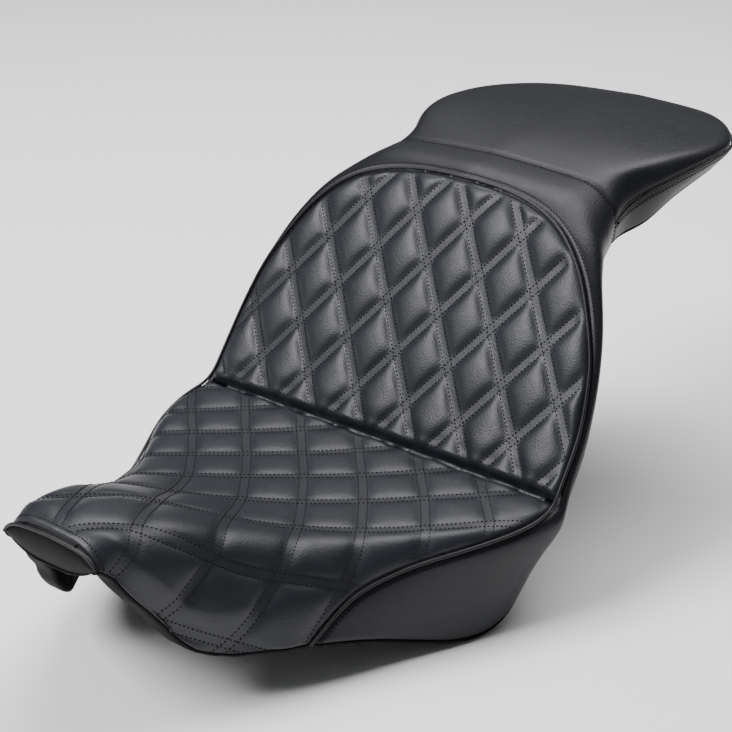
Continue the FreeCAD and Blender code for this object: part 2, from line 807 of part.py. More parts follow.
def build():
    soft, tray, hollow, fold = soft_parts()
    soft.update(welts(padded_body(0.0, 0.0), padded_body(-size("welt_high"), 0.0),
                      below_hem(0.0)))
    soft["base_pan"] = drilled_pan(tray, hollow, fold)
    soft["cover_staples"] = staples()
    nodes = [shape_object(label, largest(shape)) for label, shape in soft.items()]
    screws = []
    for side, side_name in ((1, "left"), (-1, "right")):
        for name in BUMPERS:
            nodes.append(bumper(side, side_name, name))
            screws.append(bumper_screw(side, side_name, name))
    nodes.append(group("bumper_screws", screws))
    nodes.append(front_tongue())
    nodes.append(rivets("tongue_rivets", tongue_rivet_places()))
    nodes.append(rear_tab())
    nodes.append(rivets("tab_rivets", tab_rivet_places()))
    doc.recompute()
    return nodes


def check(nodes):
    for made in doc.Objects:
        if "Invalid" in made.State or "Error" in made.State:
            raise ValueError("%s failed: %s" % (made.Label, made.State))
    for node in nodes:
        if node.Shape.isNull() or not node.Shape.isValid():
            raise ValueError("%s has no valid shape" % node.Label)
        if not node.Shape.Solids:
            raise ValueError("%s has no solid" % node.Label)


def write(nodes):
    os.makedirs("parts", exist_ok=True)
    for node in nodes:
        node.Shape.exportStep("parts/%s.step" % node.Label)
        print("%-24s %3d solids %9.1f cm3"
              % (node.Label, len(node.Shape.Solids), node.Shape.Volume / 1000.0))


nodes = build()
check(nodes)
write(nodes)
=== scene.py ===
import math

import bpy
import numpy as np
from mathutils import Matrix, Vector
from mathutils.bvhtree import BVHTree
from mathutils.kdtree import KDTree


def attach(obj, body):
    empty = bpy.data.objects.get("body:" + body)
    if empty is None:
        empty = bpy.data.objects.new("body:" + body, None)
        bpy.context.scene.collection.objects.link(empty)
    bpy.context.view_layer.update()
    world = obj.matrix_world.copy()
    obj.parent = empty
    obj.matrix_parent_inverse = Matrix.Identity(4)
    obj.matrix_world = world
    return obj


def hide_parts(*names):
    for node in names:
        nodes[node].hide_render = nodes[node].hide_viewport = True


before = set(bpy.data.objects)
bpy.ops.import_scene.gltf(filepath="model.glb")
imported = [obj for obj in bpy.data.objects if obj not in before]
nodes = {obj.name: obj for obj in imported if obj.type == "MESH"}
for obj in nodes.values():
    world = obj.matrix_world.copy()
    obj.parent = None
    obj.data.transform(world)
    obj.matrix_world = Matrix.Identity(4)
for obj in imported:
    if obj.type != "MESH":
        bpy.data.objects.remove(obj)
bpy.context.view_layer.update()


# ---- the outer surface, read from the CAD covers ----------------------------------------------

PANELS = ("rider_panel", "backrest_panel", "shoulder_band", "pillion_panel",
          "pillion_boxing", "nose_gusset")
RIDER, BACK, BAND, PILLION, BOXING, NOSE = range(6)
FOLD_Y, BAND_Y = -0.0345, 0.120
NOSE_Y, TAIL_Y = -0.3609, 0.3409
HALF_COLUMNS = 150
ROW_STEP = 0.0019
OUTSIDE = 0.45              # the rays start this far from the pivot, outside every section
SWEEP_STEP = math.radians(0.8)
SWEEP_END = math.radians(165)
END_WALL = 0.003            # this near the nose and the tail a section stops at its rim,
END_RIM = 0.0015            # the part of it that is this close to its widest point


def cover_tree():
    verts, polys, owner = [], [], []
    for number, name in enumerate(PANELS):
        mesh = nodes[name].data
        start = len(verts)
        verts += [v.co.copy() for v in mesh.vertices]
        polys += [[start + i for i in p.vertices] for p in mesh.polygons]
        owner += [number] * len(mesh.polygons)
    return BVHTree.FromPolygons(verts, polys), owner


tree, owner = cover_tree()


def panel_at(point):
    return owner[tree.find_nearest(Vector(point))[2]]


def crown(y):
    return tree.ray_cast(Vector((0, y, 0.6)), Vector((0, 0, -1)))[0].z


def row_places():
    """Places along the seat about ROW_STEP apart on the centre line, with the two cross seams."""
    fine = np.linspace(NOSE_Y, TAIL_Y, 1600)
    up = np.array([crown(y) for y in fine])
    reach = np.concatenate([[0], np.cumsum(np.hypot(np.diff(fine), np.diff(up)))])
    stops = [NOSE_Y, FOLD_Y, BAND_Y, TAIL_Y]
    at = np.interp(stops, fine, reach)
    places = []
    for start, end in zip(at, at[1:]):
        count = int(round((end - start) / ROW_STEP))
        places += list(np.linspace(start, end, count + 1)[:-1])
    return np.interp(places + [at[-1]], reach, fine)


# how deep below the crown the sweep of a section turns, at places along the seat
PIVOT_Y = (-0.361, -0.342, -0.310, -0.265, -0.105, -0.040, 0.020, 0.060, 0.100, 0.150, 0.255,
           0.341)
PIVOT_DEEP = (0.008, 0.014, 0.020, 0.030, 0.045, 0.040, 0.040, 0.035, 0.025, 0.020, 0.013,
              0.007)


def half_section(y):
    """Points of the cover from the centre line to the lower edge, evenly spread."""
    pivot = Vector((0, y, crown(y) - np.interp(y, PIVOT_Y, PIVOT_DEEP)))

    def hit(angle):
        way = Vector((math.sin(angle), 0, math.cos(angle)))
        return tree.ray_cast(pivot + way * OUTSIDE, -way, OUTSIDE - 0.002)[0]

    found, angle = [], 0.0
    while angle < SWEEP_END:
        point = hit(angle)
        if point is None:
            break
        found.append((point.x, point.z))
        angle += SWEEP_STEP
    low, high, edge = angle - SWEEP_STEP, angle, None
    for _ in range(12):
        middle = (low + high) / 2
        point = hit(middle)
        if point is None:
            high = middle
        else:
            low, edge = middle, (point.x, point.z)
    if edge:
        found.append(edge)
    line = np.array(found)
    if y < NOSE_Y + END_WALL or y > TAIL_Y - END_WALL:
        wide = np.nonzero(line[:, 0] > line[:, 0].max() - END_RIM)[0]
        line = line[:wide[-1] + 1]
    line[0, 0] = 0.0
    run = np.concatenate([[0], np.cumsum(np.hypot(*np.diff(line, axis=0).T))])
    even = np.linspace(0, run[-1], HALF_COLUMNS + 1)
    return np.interp(even, run, line[:, 0]), np.interp(even, run, line[:, 1])


def smooth_rows(grid, times):
    """Takes the facets of the CAD mesh out of the grid; the ends and the edge stay."""
    for _ in range(times):
        grid[1:-1] = (grid[:-2] + 2 * grid[1:-1] + grid[2:]) / 4
        grid[:, 1:-1] = (grid[:, :-2] + 2 * grid[:, 1:-1] + grid[:, 2:]) / 4
    return grid


def outer_grid():
    rows = row_places()
    half = []
    for y in rows:
        x, z = half_section(y)
        half.append(np.stack([x, np.full_like(x, y), z], axis=-1))
    half = np.array(half)
    fold = int(np.argmin(abs(rows - FOLD_Y)))
    first = smooth_rows(half[:fold + 1].copy(), 6)
    second = smooth_rows(half[fold:].copy(), 6)
    half = np.concatenate([first, second[1:]])
    half[:, 0, 0] = 0.0
    left = half[:, :0:-1].copy()
    left[..., 0] *= -1
    return np.concatenate([left, half], axis=1), fold, int(np.argmin(abs(rows - BAND_Y)))


NOSE_HALF, CHIN_Z = 0.0452, 0.1105
NOSE_BULGE = 0.0016
TAIL_DROP, TAIL_ROUND = 0.0015, 0.006
TAIL_NARROW = 0.72          # the width of the very end, as a part of the last section's


def nose_rows(row):
    """The lens-shaped end of the nose, from the piping down to the chin."""
    outward = np.clip(abs(row[:, 0]) / NOSE_HALF, 0, 1)
    bottom = row.copy()
    bottom[:, 2] = CHIN_Z + (row[-1, 2] - CHIN_Z) * outward ** 3
    parts = []
    for part in np.linspace(1, 0, 15)[:-1]:
        made = row + (bottom - row) * part
        made[:, 1] = NOSE_Y - NOSE_BULGE * math.sin(math.pi * part)
        parts.append(made)
    return np.array(parts)


def tail_rows(row):
    """The rounded end of the tail."""
    middle = row.copy()
    middle[:, 2] = row[-1, 2] - TAIL_DROP
    middle[:, 0] *= TAIL_NARROW
    parts = []
    for turn in np.linspace(0, math.pi / 2, 11)[1:]:
        made = middle + (row - middle) * math.cos(turn)
        made[:, 1] = TAIL_Y + TAIL_ROUND * math.sin(turn)
        parts.append(made)
    return np.array(parts)


def full_grid():
    core, fold, band = outer_grid()
    front, back = nose_rows(core[0]), tail_rows(core[-1])
    grid = np.concatenate([front, core, back])
    return grid, fold + len(front), band + len(front), len(front), len(front) + len(core) - 1


GRID, FOLD_ROW, BAND_ROW, FIRST_ROW, LAST_ROW = full_grid()
ROWS, COLUMNS = GRID.shape[:2]
MID = HALF_COLUMNS


def normals_of(grid):
    """Unit normals that point out of the seat."""
    normal = np.cross(np.gradient(grid, axis=1), np.gradient(grid, axis=0))
    normal /= np.maximum(np.linalg.norm(normal, axis=-1, keepdims=True), 1e-12)
    return normal if normal[ROWS // 2, MID, 2] > 0 else -normal


NORMAL = normals_of(GRID)


def panel_map():
    """Which panel each corner of the grid belongs to, the same on both sides."""
    found = np.zeros((ROWS, COLUMNS), int)
    for r in range(ROWS):
        for c in range(MID, COLUMNS):
            found[r, c] = found[r, 2 * MID - c] = panel_at(GRID[r, c])
    found[:FIRST_ROW] = NOSE
    return found


PANEL = panel_map()


# ---- seams ------------------------------------------------------------------------------------

SEAM_STEP = 0.0015
FIELD_STEP = 0.0006


def crossing(first, second, panel):
    """The point between two corners where the panel ends."""
    low, high = np.array(first), np.array(second)
    for _ in range(6):
        middle = (low + high) / 2
        if panel_at(middle) == panel:
            low = middle
        else:
            high = middle
    return (low + high) / 2


def border(one, other, rows=(0, 10 ** 6)):
    """Points on the right half where two panels meet."""
    points = []
    for r in range(max(rows[0], FIRST_ROW), min(rows[1], ROWS)):
        for c in range(MID, COLUMNS):
            here = PANEL[r, c]
            if here not in (one, other):
                continue
            for nr, nc in ((r + 1, c), (r, c + 1)):
                if nr >= ROWS or nc >= COLUMNS:
                    continue
                if PANEL[nr, nc] + here == one + other and PANEL[nr, nc] != here:
                    points.append(crossing(GRID[r, c], GRID[nr, nc], here))
    return np.array(points)


def even_line(line, step, soften):
    """The line with even steps, smoothed, its ends kept."""
    run = np.concatenate([[0], np.cumsum(np.linalg.norm(np.diff(line, axis=0), axis=1))])
    count = max(int(run[-1] / step), 2)
    even = np.linspace(0, run[-1], count + 1)
    made = np.stack([np.interp(even, run, line[:, k]) for k in range(3)], axis=-1)
    for _ in range(soften):
        made[1:-1] = (made[:-2] + 2 * made[1:-1] + made[2:]) / 4
    return made


def mirrored(line):
    other = line[::-1].copy()
    other[:, 0] *= -1
    if abs(line[-1, 0]) < 0.004:
        joined = line[-1:].copy()
        joined[:, 0] = 0
        return np.concatenate([line[:-1], joined, other[1:]])
    return np.concatenate([line, other])


def main_seam():
    """From the hem up the side, round the back and down the other side."""
    side = border(RIDER, BAND, (0, FOLD_ROW))
    side = side[np.argsort(side[:, 1])]
    back = border(BACK, BAND)
    turn = np.arctan2(back[:, 2] - 0.16, back[:, 0])
    back = back[np.argsort(turn)]
    line = even_line(np.concatenate([side, back]), SEAM_STEP, 30)
    return mirrored(line)


def boxing_seam():
    line = border(PILLION, BOXING)
    turn = np.arctan2(line[:, 1] - 0.23, line[:, 0])
    return mirrored(even_line(line[np.argsort(turn)], SEAM_STEP, 30))


SEAM_MAIN = main_seam()
SEAM_BOXING = boxing_seam()
SEAM_BAND = even_line(GRID[BAND_ROW], SEAM_STEP, 4)
fold_inside = [c for c in range(COLUMNS) if PANEL[FOLD_ROW - 2, c] == RIDER]
FOLD_LINE = even_line(GRID[FOLD_ROW, fold_inside[0]:fold_inside[-1] + 1], SEAM_STEP, 4)
SEAM_NOSE = even_line(GRID[FIRST_ROW], SEAM_STEP, 4)


def reach_field(line):
    """Distance from every corner of the grid to the line, and the place along it."""
    dense = even_line(line, FIELD_STEP, 0)
    found = KDTree(len(dense))
    for number, point in enumerate(dense):
        found.insert(point, number)
    found.balance()
    far = np.zeros((ROWS, COLUMNS))
    place = np.zeros((ROWS, COLUMNS))
    for r in range(ROWS):
        for c in range(COLUMNS):
            _, number, distance = found.find(GRID[r, c])
            far[r, c], place[r, c] = distance, number * FIELD_STEP
    return far, place


FAR_MAIN, ALONG_MAIN = reach_field(SEAM_MAIN)
FAR_BOXING, ALONG_BOXING = reach_field(SEAM_BOXING)
FAR_BAND, ALONG_BAND = reach_field(SEAM_BAND)
FAR_FOLD = reach_field(FOLD_LINE)[0]
FAR_NOSE, ALONG_NOSE = reach_field(SEAM_NOSE)


# ---- quilting ---------------------------------------------------------------------------------

X, Y, Z = GRID[..., 0], GRID[..., 1], GRID[..., 2]


def steepness(field):
    """Size of a field's slope on the surface, per metre."""
    pr, pc = np.gradient(GRID, axis=0), np.gradient(GRID, axis=1)
    fr, fc = np.gradient(field)
    e, f, g = (pr * pr).sum(-1), (pr * pc).sum(-1), (pc * pc).sum(-1)
    squared = (g * fr ** 2 - 2 * f * fr * fc + e * fc ** 2) / np.maximum(e * g - f * f, 1e-18)
    return np.sqrt(np.maximum(squared, 1.0))


DIAMOND_WIDE, DIAMOND_HIGH = 0.0508, 0.0745
SLOPE_BACK, SLOPE_UP = 0.5, 0.866


def back_lattice():
    """Tall diamonds on the slope of the back."""
    across = (X + 0.004) / DIAMOND_WIDE
    up = (Y * SLOPE_BACK + (Z - 0.150) * SLOPE_UP + 0.0015) / DIAMOND_HIGH
    return across - up, across + up


def eased(part):
    return part * part * (3 - 2 * part)


def section_reach():
    """Signed distance from the centre line, measured over the surface."""
    step = np.linalg.norm(np.diff(GRID, axis=1), axis=-1)
    run = np.concatenate([np.zeros((ROWS, 1)), np.cumsum(step, axis=1)], axis=1)
    return run - run[:, MID:MID + 1]


REACH = section_reach()


RIDER_DIAMOND = 0.060


def rider_lattice():
    """Wide diamonds that get shorter towards the fold."""
    across = (REACH - 0.007) / RIDER_DIAMOND
    skew = 0.10 * np.clip((-0.087 - Y) / 0.10, 0, 1)
    back = np.interp(Y + skew * REACH, (-0.380, -0.271, -0.186, -0.120, -0.057, -0.030),
                     (-1.20, 0.0, 1.0, 2.0, 3.0, 3.43))
    for _ in range(12):
        back[1:-1] = (back[:-2] + 2 * back[1:-1] + back[2:]) / 4
    return back - across, back + across


HALF_ROW = 0.00325          # from a line of the lattice to each of its two rows of stitches


def line_distance(field, slope):
    return abs(field - np.round(field)) / slope


def puff(fields, slopes, soft):
    """0 on the sewn strips, 1 in the middle of a diamond."""
    made = 1.0
    for field, slope in zip(fields, slopes):
        clear = np.maximum(line_distance(field, slope) - HALF_ROW - 0.0004, 0)
        made = made * (1 - np.exp(-clear / soft))
    return made


BACK_LINES = back_lattice()
RIDER_LINES = rider_lattice()
BACK_SLOPES = [steepness(field) for field in BACK_LINES]
RIDER_SLOPES = [steepness(field) for field in RIDER_LINES]


def gauss(far, wide):
    return np.exp(-(far / wide) ** 2)


def nose_roll():
    """The full, rounded front of the nose, dying out up the seat and towards the hem."""
    turn = np.clip((Y - NOSE_Y) / 0.026, 0, 1)
    front = np.sqrt(turn * (2 - turn))
    fade = np.clip((-0.185 - Y) / 0.110, 0, 1)
    hem = np.clip((abs(REACH[:, -1:]) - abs(REACH)) / 0.035, 0, 1)
    return 0.0095 * front * eased(fade) * eased(hem)


def relief():
    """How far the surface stands out from the CAD's, in metres."""
    made = np.zeros((ROWS, COLUMNS))
    on_back, on_rider = PANEL == BACK, PANEL == RIDER
    on_band, on_pillion = PANEL == BAND, PANEL == PILLION
    back = 0.0038 * puff(BACK_LINES, BACK_SLOPES, 0.0046) - 0.0022
    rider = 0.0024 * puff(RIDER_LINES, RIDER_SLOPES, 0.0050) - 0.0014
    edge = 1 - gauss(FAR_MAIN, 0.007)
    made += np.where(on_back, back * edge, 0)
    made += np.where(on_rider, rider * edge * (1 - gauss(FAR_NOSE, 0.012)), 0)
    made -= 0.0016 * gauss(FAR_MAIN, 0.0030) + 0.0008 * np.exp(-FAR_MAIN / 0.010)
    made -= np.where(on_pillion | (PANEL == BOXING),
                     0.0014 * gauss(FAR_BOXING, 0.0028) + 0.0006 * np.exp(-FAR_BOXING / 0.008), 0)
    made -= 0.0012 * gauss(FAR_BAND, 0.0022) + 0.0010 * np.exp(-FAR_BAND / 0.009)
    swell = 0.0016 * gauss(FAR_FOLD - 0.015, 0.012)
    made += np.where(on_back, swell, 0) + np.where(on_rider, swell * 0.4, 0)
    made -= np.where(on_band, 0.0030 * np.exp(-FAR_FOLD / 0.006), 0)
    made -= 0.0008 * gauss(FAR_NOSE, 0.0025)
    return made + nose_roll()


def wave(seed, size):
    """A few gentle crossing waves, the same each time."""
    rng = np.random.default_rng(seed)
    made = np.zeros((ROWS, COLUMNS))
    for _ in range(5):
        way = rng.normal(size=3)
        way /= np.linalg.norm(way)
        made += np.sin((GRID @ way) * 2 * math.pi / (size * rng.uniform(0.7, 1.4))
                       + rng.uniform(0, 6.28))
    return made / 5


def fold_shift():
    """Both covers run down into the deep fold, and the back's edge leans over it."""
    inner = np.isin(PANEL, (RIDER, BACK))
    sunk = np.where(inner, np.exp(-(FAR_FOLD / 0.0032) ** 2), 0)
    over = np.where(PANEL == BACK, 0.0012 * gauss(FAR_FOLD - 0.006, 0.004), 0)
    return sunk[..., None] * np.array([0, 0.0050, -0.0065]) \
        + over[..., None] * np.array([0, -1.0, 0])


RELIEF = relief() + 0.0003 * wave(3, 0.090)
SKIN = GRID + NORMAL * RELIEF[..., None] + fold_shift()
SKIN_NORMAL = normals_of(SKIN)


# ---- materials --------------------------------------------------------------------------------

def material(name, colour, roughness, metallic=0.0, specular=0.5):
    made = bpy.data.materials.new(name)
    made.use_nodes = True
    graph = made.node_tree
    shader = graph.nodes["Principled BSDF"]
    shader.inputs["Base Color"].default_value = (*colour, 1)
    shader.inputs["Roughness"].default_value = roughness
    shader.inputs["Metallic"].default_value = metallic
    shader.inputs["Specular IOR Level"].default_value = specular
    return made, graph, shader


def texture(graph, kind, scale, **settings):
    node = graph.nodes.new(kind)
    node.inputs["Scale"].default_value = scale
    for name, value in settings.items():
        node.inputs[name].default_value = value
    places = graph.nodes.get("Texture Coordinate") or graph.nodes.new("ShaderNodeTexCoord")
    graph.links.new(places.outputs["Object"], node.inputs["Vector"])
    return node


def ramp(graph, source, low, high, start=0.0, end=1.0):
    node = graph.nodes.new("ShaderNodeMapRange")
    node.inputs["From Min"].default_value = start
    node.inputs["From Max"].default_value = end
    node.inputs["To Min"].default_value = low
    node.inputs["To Max"].default_value = high
    graph.links.new(source, node.inputs["Value"])
    return node.outputs["Result"]


def tinted(graph, shader, source, dark, light):
    mix = graph.nodes.new("ShaderNodeMix")
    mix.data_type = "RGBA"
    mix.inputs[6].default_value = (*dark, 1)
    mix.inputs[7].default_value = (*light, 1)
    graph.links.new(source, mix.inputs[0])
    graph.links.new(mix.outputs[2], shader.inputs["Base Color"])


def bumped(graph, shader, layers):
    """Adds the bump layers one after another: (height, strength, distance)."""
    last = None
    for height, strength, distance in layers:
        bump = graph.nodes.new("ShaderNodeBump")
        bump.inputs["Strength"].default_value = strength
        bump.inputs["Distance"].default_value = distance
        graph.links.new(height, bump.inputs["Height"])
        if last:
            graph.links.new(last, bump.inputs["Normal"])
        last = bump.outputs["Normal"]
    graph.links.new(last, shader.inputs["Normal"])


def vinyl(name, colour, roughness, specular, grain=0.35):
    made, graph, shader = material(name, colour, roughness, specular=specular)
    pebble = texture(graph, "ShaderNodeTexVoronoi", 900.0)
    pebble.feature = "SMOOTH_F1"
    fine = texture(graph, "ShaderNodeTexNoise", 2300.0, Detail=3.0)
    broad = texture(graph, "ShaderNodeTexNoise", 14.0, Detail=3.0)
    patches = texture(graph, "ShaderNodeTexNoise", 120.0, Detail=2.0)
    light = tuple(min(c * 1.12, 1) for c in colour)
    dark = tuple(c * 0.92 for c in colour)
    tinted(graph, shader, ramp(graph, broad.outputs["Fac"], 0, 1, 0.35, 0.65), dark, light)
    rough = ramp(graph, patches.outputs["Fac"], roughness - 0.02, roughness + 0.03, 0.3, 0.7)
    graph.links.new(rough, shader.inputs["Roughness"])
    bumped(graph, shader, ((pebble.outputs["Distance"], grain, 0.0004),
                           (fine.outputs["Fac"], 0.22, 0.0002)))
    return made


def plastic(name, colour, roughness, scale, strength, spread=0.04):
    made, graph, shader = material(name, colour, roughness)
    speck = texture(graph, "ShaderNodeTexNoise", scale, Detail=4.0)
    broad = texture(graph, "ShaderNodeTexNoise", 20.0, Detail=2.0)
    tinted(graph, shader, ramp(graph, broad.outputs["Fac"], 0, 1, 0.3, 0.7),
           tuple(c * 0.85 for c in colour), tuple(min(c * 1.2, 1) for c in colour))
    rough = ramp(graph, speck.outputs["Fac"], roughness - spread, roughness + spread, 0.3, 0.7)
    graph.links.new(rough, shader.inputs["Roughness"])
    bumped(graph, shader, ((speck.outputs["Fac"], strength, 0.0003),))
    return made


def steel(name, colour, roughness):
    made, graph, shader = material(name, colour, roughness, metallic=1.0)
    brushed = texture(graph, "ShaderNodeTexNoise", 260.0, Detail=4.0)
    spots = texture(graph, "ShaderNodeTexNoise", 45.0, Detail=3.0)
    tinted(graph, shader, ramp(graph, spots.outputs["Fac"], 0, 1, 0.3, 0.7),
           tuple(c * 0.8 for c in colour), colour)
    rough = ramp(graph, brushed.outputs["Fac"], roughness - 0.08, roughness + 0.10, 0.3, 0.7)
    graph.links.new(rough, shader.inputs["Roughness"])
    bumped(graph, shader, ((brushed.outputs["Fac"], 0.12, 0.0002),))
    return made


def thread_material():
    made, graph, shader = material("sewing_thread", (0.004, 0.004, 0.005), 0.75, specular=0.2)
    twist = texture(graph, "ShaderNodeTexNoise", 1800.0, Detail=2.0)
    tinted(graph, shader, twist.outputs["Fac"], (0.003, 0.003, 0.003), (0.009, 0.009, 0.010))
    bumped(graph, shader, ((twist.outputs["Fac"], 0.4, 0.0002),))
    return made


QUILTED = vinyl("quilted_vinyl", (0.0110, 0.0117, 0.0165), 0.43, 0.40)
SMOOTH = vinyl("cover_vinyl", (0.0060, 0.0064, 0.0092), 0.42, 0.32)
# Painted shade: the nose face's vinyl is made near-black and low in shine, so it stands in for
# the shadow on the front of the nose.
NOSE_SHADE_VINYL = vinyl("nose_painted_shade_vinyl", (0.0020, 0.0021, 0.0028), 0.50, 0.12)
WELT = vinyl("welt_vinyl", (0.0050, 0.0053, 0.0070), 0.45, 0.35, 0.25)
# Painted shade: near-black, rough vinyl for the turned hem and chin, so their undersides read as
# the shadow under the edge.
HEM_SHADE_VINYL = vinyl("turned_vinyl_painted_shade", (0.0025, 0.0025, 0.0030), 0.70, 0.10)
THREAD = thread_material()
PLASTIC = plastic("pan_plastic", (0.018, 0.018, 0.019), 0.55, 900.0, 0.30)
RUBBER = plastic("bumper_rubber", (0.014, 0.014, 0.014), 0.72, 1400.0, 0.35)
BLACK_STEEL = plastic("black_steel", (0.020, 0.020, 0.021), 0.42, 700.0, 0.15)
STEEL = steel("bright_steel", (0.58, 0.59, 0.60), 0.34)


# ---- making pieces ----------------------------------------------------------------------------

def mesh_object(name, verts, faces, finish):
    mesh = bpy.data.meshes.new(name)
    mesh.from_pydata([tuple(v) for v in verts], [], [tuple(f) for f in faces])
    mesh.validate()
    mesh.polygons.foreach_set("use_smooth", [True] * len(mesh.polygons))
    made = bpy.data.objects.new(name, mesh)
    bpy.context.scene.collection.objects.link(made)
    made.data.materials.append(finish)
    return made


def face_panels():
    """Each square of the grid belongs to the panel under its middle."""
    corners = np.stack([PANEL[:-1, :-1], PANEL[1:, :-1], PANEL[1:, 1:], PANEL[:-1, 1:]])
    found = corners[0].copy()
    mixed = np.argwhere((corners != corners[0]).any(axis=0))
    centre = (GRID[:-1, :-1] + GRID[1:, :-1] + GRID[1:, 1:] + GRID[:-1, 1:]) / 4
    for r, c in mixed:
        found[r, c] = panel_at(centre[r, c]) if r >= FIRST_ROW else NOSE
    return found


FACE = face_panels()


def thicken(made, thick):
    """Gives a skin its thickness, on the side that its normals point away from."""
    shell = made.modifiers.new("thickness", "SOLIDIFY")
    shell.thickness = thick
    shell.offset = -1.0


def panel_object(name, panels, finish, thick=0.0018):
    """The squares of these panels as one padded skin with a turned-in edge."""
    chosen = np.argwhere(np.isin(FACE, panels))
    corner = chosen[:, 0] * COLUMNS + chosen[:, 1]
    quads = np.stack([corner, corner + 1, corner + COLUMNS + 1, corner + COLUMNS], axis=-1)
    used, compact = np.unique(quads, return_inverse=True)
    made = mesh_object(name, SKIN.reshape(-1, 3)[used], compact.reshape(quads.shape), finish)
    thicken(made, thick)
    return made


def contour(field, level, order, mask):
    """Points and normals where the field crosses the level, in the order of another field."""
    points, ways, places = [], [], []
    shift = field - level
    for axis in (0, 1):
        first = [slice(None), slice(None)]
        second = [slice(None), slice(None)]
        first[axis], second[axis] = slice(None, -1), slice(1, None)
        one, two = tuple(first), tuple(second)
        a, b = shift[one], shift[two]
        cut = (a * b < 0) & mask[one] & mask[two]
        part = (a / np.where(cut, a - b, 1))[cut][:, None]
        points.append(SKIN[one][cut] * (1 - part) + SKIN[two][cut] * part)
        ways.append(SKIN_NORMAL[one][cut] * (1 - part) + SKIN_NORMAL[two][cut] * part)
        places.append((order[one][cut][:, None] * (1 - part) + order[two][cut][:, None] * part))
    points, ways = np.concatenate(points), np.concatenate(ways)
    places = np.concatenate(places)[:, 0]
    rank = np.argsort(places)
    return points[rank], ways[rank]


def pieces_of(points, ways, gap=0.006):
    """Splits a line where it jumps."""
    if len(points) < 4:
        return []
    jumps = np.linalg.norm(np.diff(points, axis=0), axis=1) > gap
    stops = [0] + list(np.nonzero(jumps)[0] + 1) + [len(points)]
    return [(points[a:b], ways[a:b]) for a, b in zip(stops, stops[1:]) if b - a > 5]


def along_line(source, run, at):
    """The source's rows, known at run, read at other places along the line."""
    return np.stack([np.interp(at, run, source[:, k]) for k in range(3)], axis=-1)


def stitch_frames(points, ways, pitch):
    """Middle, direction and normal of every stitch on a line."""
    run = np.concatenate([[0], np.cumsum(np.linalg.norm(np.diff(points, axis=0), axis=1))])
    if run[-1] < 3 * pitch:
        return None
    even = np.linspace(0, run[-1], max(int(run[-1] / 0.0008), 8))
    line, lift = along_line(points, run, even), along_line(ways, run, even)
    for _ in range(4):
        line[1:-1] = (line[:-2] + 2 * line[1:-1] + line[2:]) / 4
        lift[1:-1] = (lift[:-2] + 2 * lift[1:-1] + lift[2:]) / 4
    count = int(run[-1] / pitch)
    middle = (np.arange(count) + 0.5) * pitch + (run[-1] - count * pitch) / 2
    centre = along_line(line, even, middle)
    way = along_line(line, even, middle + pitch * 0.4)
    way -= along_line(line, even, middle - pitch * 0.4)
    way /= np.maximum(np.linalg.norm(way, axis=1, keepdims=True), 1e-9)
    up = along_line(lift, even, middle)
    up -= way * (up * way).sum(1, keepdims=True)
    up /= np.maximum(np.linalg.norm(up, axis=1, keepdims=True), 1e-9)
    return centre, way, up


def stitch_shape(long, thick):
    """A short bent strand that dives at both ends."""
    rings, sides = 5, 6
    verts, faces = [], []
    for ring in range(rings):
        part = ring / (rings - 1) * 2 - 1
        radius = thick * (1 - 0.45 * abs(part) ** 2)
        height = thick * 0.55 - thick * 1.3 * part ** 2
        for side in range(sides):
            turn = 2 * math.pi * side / sides
            verts.append((part * long / 2, radius * math.cos(turn),
                          height + radius * math.sin(turn)))
    for ring in range(rings - 1):
        for side in range(sides):
            a, b = ring * sides + side, ring * sides + (side + 1) % sides
            faces.append((a, b, b + sides, a + sides))
    faces.append(tuple(range(sides))[::-1])
    faces.append(tuple((rings - 1) * sides + side for side in range(sides)))
    return np.array(verts), faces


def stitches(name, lines, pitch=0.0032, long=0.0022, thick=0.00046):
    shape, shape_faces = stitch_shape(long, thick)
    verts, faces = [], []
    for points, ways in lines:
        frames = stitch_frames(points, ways, pitch)
        if frames is None:
            continue
        for centre, way, up in zip(*frames):
            side = np.cross(up, way)
            start = len(verts) * len(shape)
            verts.append(centre + shape @ np.stack([way, side, up]))
            faces += [tuple(start + i for i in face) for face in shape_faces]
    return mesh_object(name, np.concatenate(verts), faces, THREAD)


def tube(name, line, radius, finish, lift=0.0):
    """A cord along the line, drawn as a curve, lifted off the surface a little."""
    corners = KDTree(ROWS * COLUMNS)
    flat, ways = SKIN.reshape(-1, 3), NORMAL.reshape(-1, 3)
    for number, point in enumerate(flat):
        corners.insert(point, number)
    corners.balance()
    spots = []
    for point in line:
        number = corners.find(point)[1]
        spots.append(point + ways[number] * lift)
    spots = even_line(np.array(spots), 0.002, 4)
    curve = bpy.data.curves.new(name, "CURVE")
    curve.dimensions = "3D"
    curve.bevel_depth = radius
    curve.bevel_resolution = 3
    curve.use_fill_caps = True
    spline = curve.splines.new("POLY")
    spline.points.add(len(spots) - 1)
    for knot, spot in zip(spline.points, spots):
        knot.co = (*spot, 1)
    made = bpy.data.objects.new(name, curve)
    bpy.context.scene.collection.objects.link(made)
    curve.materials.append(finish)
    return made


def quilt_lines(fields, slopes, mask):
    """Both rows of stitches of every line of the lattice."""
    lines = []
    for field, other, slope in ((fields[0], fields[1], slopes[0]),
                                (fields[1], fields[0], slopes[1])):
        inside = field[mask]
        for level in range(int(np.floor(inside.min())), int(np.ceil(inside.max())) + 1):
            for side in (-1, 1):
                away = (field - level) / slope - side * HALF_ROW
                lines += pieces_of(*contour(away, 0.0, other, mask))
    return lines


def seam_lines(far, along, distance, mask):
    return pieces_of(*contour(far, distance, along, mask))


# ---- the padded covers ------------------------------------------------------------------------

